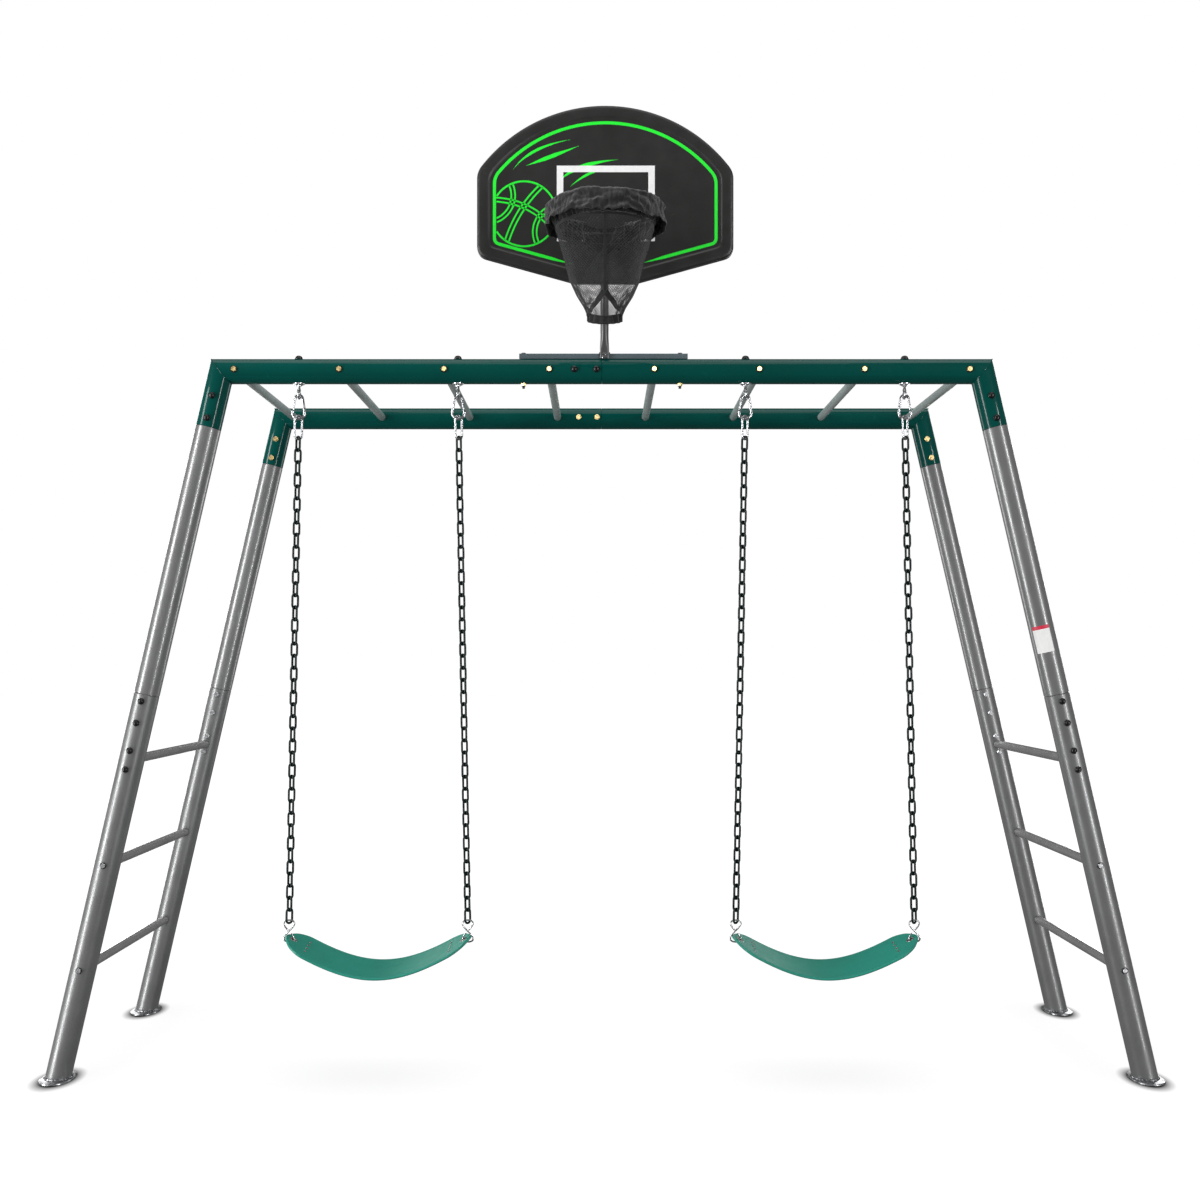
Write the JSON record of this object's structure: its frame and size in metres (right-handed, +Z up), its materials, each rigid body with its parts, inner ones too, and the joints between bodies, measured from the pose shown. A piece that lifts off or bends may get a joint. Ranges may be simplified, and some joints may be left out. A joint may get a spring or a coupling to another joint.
{
  "type": "swing set",
  "caption": "Freestanding tube-frame swing set with belt swings on chains, overhead monkey bars, ladder ends and a small basketball hoop.",
  "frame": {"origin": "on the ground, under the middle of the overall box", "axes": "+X along the beams, +Y from the hoop side to the rear, +Z up"},
  "size_m": [3.222, 1.178, 2.786],
  "materials": {
    "green_paint": "dark green gloss powder coat",
    "grey_paint": "grey semi-gloss powder coat",
    "rung_paint": "grey metallic powder coat",
    "bar_paint": "blue-grey satin powder coat",
    "pole_paint": "dark grey satin powder coat",
    "rim_paint": "black powder coat",
    "zinc": "bright zinc plate",
    "yellow_zinc": "yellow zinc plate on steel bolts",
    "black_plastic": "black moulded caps",
    "board_plastic": "fine grained charcoal plastic",
    "print_green": "bright green screen print",
    "print_white": "white screen print",
    "cloth": "black woven polyester",
    "net_mesh": "fine black mesh with webbing edges",
    "chain_coat": "dark green plastic dip",
    "seat_rubber": "matte green rubber"
  },
  "bodies": {
    "frame": {"front_beam_left": "green_paint", "front_left_upper_leg": "grey_paint", "front_left_lower_leg": "grey_paint", "front_beam_right": "green_paint", "front_right_upper_leg": "grey_paint", "front_right_lower_leg": "grey_paint", "rear_beam_left": "green_paint", "rear_left_upper_leg": "grey_paint", "rear_left_lower_leg": "grey_paint", "rear_beam_right": "green_paint", "rear_right_upper_leg": "grey_paint", "rear_right_lower_leg": "grey_paint", "left_ladder_rung_1": "rung_paint", "left_ladder_rung_2": "rung_paint", "left_ladder_rung_3": "rung_paint", "bar_bolt_left": "zinc", "right_ladder_rung_1": "rung_paint", "right_ladder_rung_2": "rung_paint", "right_ladder_rung_3": "rung_paint", "bar_bolt_right": "zinc", "monkey_rung_1": "rung_paint", "monkey_rung_2": "rung_paint", "monkey_rung_3": "rung_paint", "monkey_rung_4": "rung_paint", "monkey_rung_5": "rung_paint", "monkey_rung_6": "rung_paint", "monkey_rung_7": "rung_paint", "monkey_rung_8": "rung_paint", "hoop_bracket_bar": "bar_paint", "hoop_pole": "pole_paint", "backboard": "board_plastic", "hoop_rim": "rim_paint", "rim_sleeve": "cloth", "hoop_net": "net_mesh", "left_outer_eye_bolt": "zinc", "left_inner_eye_bolt": "zinc", "right_outer_eye_bolt": "zinc", "right_inner_eye_bolt": "zinc"},
    "left_hangers": {"left_outer_snap_hook": "zinc", "left_outer_top_link": "zinc", "left_inner_snap_hook": "zinc", "left_inner_top_link": "zinc"},
    "left_chains": {"left_outer_chain": "chain_coat", "left_outer_s_hook": "zinc", "left_inner_chain": "chain_coat", "left_inner_s_hook": "zinc"},
    "left_seat": {"left_swing_seat": "seat_rubber"},
    "left_outer_gate": {"left_outer_snap_gate": "zinc"},
    "left_inner_gate": {"left_inner_snap_gate": "zinc"},
    "right_hangers": {"right_outer_snap_hook": "zinc", "right_outer_top_link": "zinc", "right_inner_snap_hook": "zinc", "right_inner_top_link": "zinc"},
    "right_chains": {"right_outer_chain": "chain_coat", "right_outer_s_hook": "zinc", "right_inner_chain": "chain_coat", "right_inner_s_hook": "zinc"},
    "right_seat": {"right_swing_seat": "seat_rubber"},
    "right_outer_gate": {"right_outer_snap_gate": "zinc"},
    "right_inner_gate": {"right_inner_snap_gate": "zinc"}
  },
  "joints": [
    {"name": "left_swing", "type": "hinge", "parent": "frame", "child": "left_hangers", "pos_m": [-0.643, -0.2075, 1.9693], "axis": [1, 0, 0], "range_deg": [-50, 50]},
    {"name": "left_chain_bend", "type": "hinge", "parent": "left_hangers", "child": "left_chains", "pos_m": [-0.643, -0.2075, 1.8461], "axis": [1, 0, 0], "range_deg": [-15, 15]},
    {"name": "left_seat_pitch", "type": "hinge", "parent": "left_chains", "child": "left_seat", "pos_m": [-0.643, -0.2075, 0.398], "axis": [1, 0, 0], "range_deg": [-22, 8]},
    {"name": "left_outer_gate_spring", "type": "hinge", "parent": "left_hangers", "child": "left_outer_gate", "pos_m": [-0.88975, -0.2075, 1.9243], "axis": [0, 1, 0], "range_deg": [0, 22], "stiffness_Nm_per_rad": 0.03, "springref_deg": -17.19},
    {"name": "left_inner_gate_spring", "type": "hinge", "parent": "left_hangers", "child": "left_inner_gate", "pos_m": [-0.39625, -0.2075, 1.9243], "axis": [0, -1, 0], "range_deg": [0, 22], "stiffness_Nm_per_rad": 0.03, "springref_deg": -17.19},
    {"name": "right_swing", "type": "hinge", "parent": "frame", "child": "right_hangers", "pos_m": [0.643, -0.2075, 1.9693], "axis": [1, 0, 0], "range_deg": [-50, 50]},
    {"name": "right_chain_bend", "type": "hinge", "parent": "right_hangers", "child": "right_chains", "pos_m": [0.643, -0.2075, 1.8461], "axis": [1, 0, 0], "range_deg": [-15, 15]},
    {"name": "right_seat_pitch", "type": "hinge", "parent": "right_chains", "child": "right_seat", "pos_m": [0.643, -0.2075, 0.398], "axis": [1, 0, 0], "range_deg": [-22, 8]},
    {"name": "right_outer_gate_spring", "type": "hinge", "parent": "right_hangers", "child": "right_outer_gate", "pos_m": [0.88975, -0.2075, 1.9243], "axis": [0, -1, 0], "range_deg": [0, 22], "stiffness_Nm_per_rad": 0.03, "springref_deg": -17.19},
    {"name": "right_inner_gate_spring", "type": "hinge", "parent": "right_hangers", "child": "right_inner_gate", "pos_m": [0.39625, -0.2075, 1.9243], "axis": [0, 1, 0], "range_deg": [0, 22], "stiffness_Nm_per_rad": 0.03, "springref_deg": -17.19}
  ]
}
